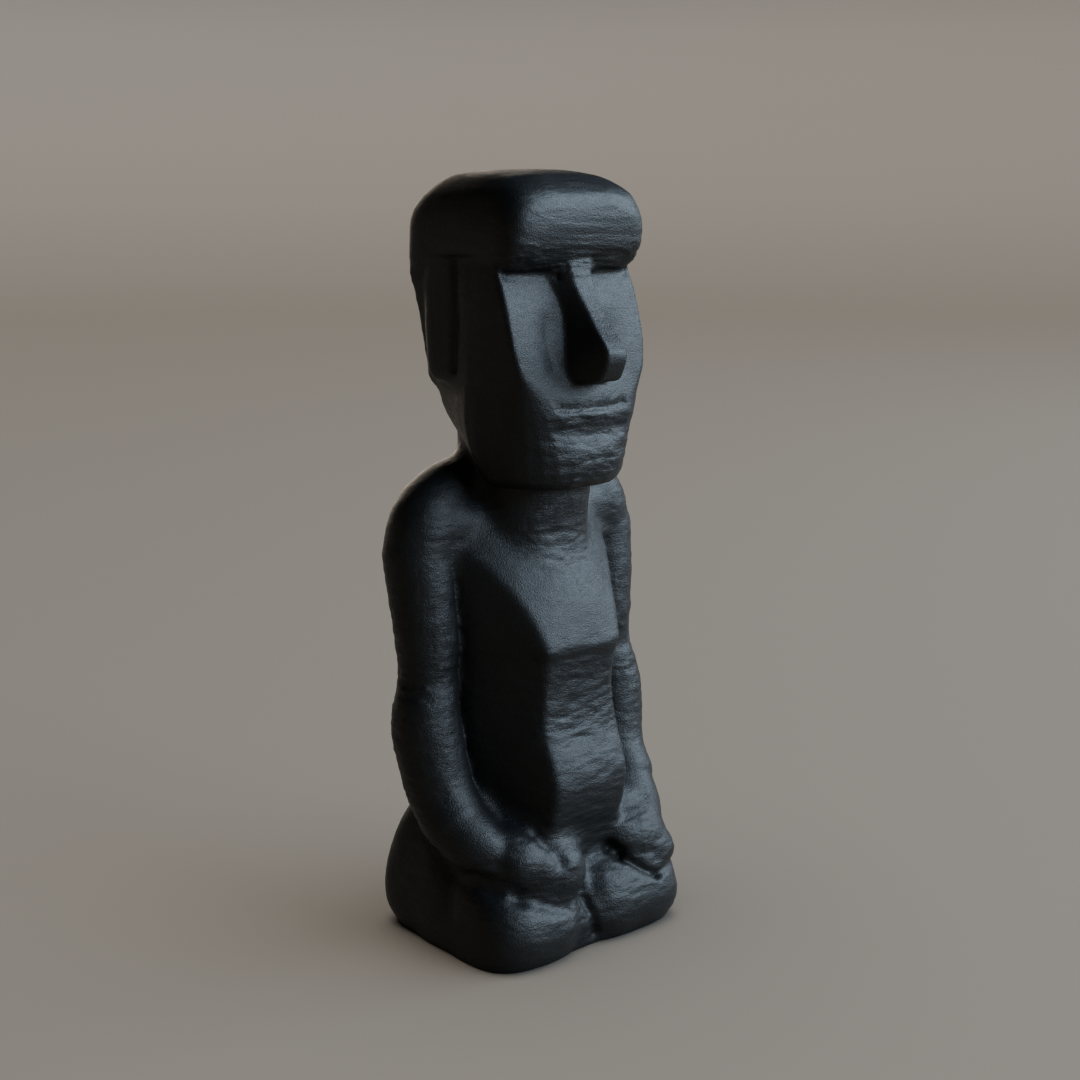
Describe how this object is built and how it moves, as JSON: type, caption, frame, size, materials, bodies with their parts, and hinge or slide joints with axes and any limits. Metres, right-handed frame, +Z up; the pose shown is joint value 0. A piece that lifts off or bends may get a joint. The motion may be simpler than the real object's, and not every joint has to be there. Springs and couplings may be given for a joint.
{
  "type": "moai figurine",
  "caption": "Kneeling stone-head figure with a long face, heavy brow, slab chest and hands on its thighs, made in one piece to stand on a desk.",
  "frame": {"origin": "centre of the footprint, on the flat underside", "axes": "+Z up through the head, -Y the way the face looks, +X the figure's left"},
  "size_m": [0.0498, 0.0364, 0.12],
  "materials": {
    "statue": "black plastic printed in fine layers, satin and slightly rough, with no seams"
  },
  "bodies": {
    "root": {"moai_statue": "statue"}
  },
  "joints": []
}
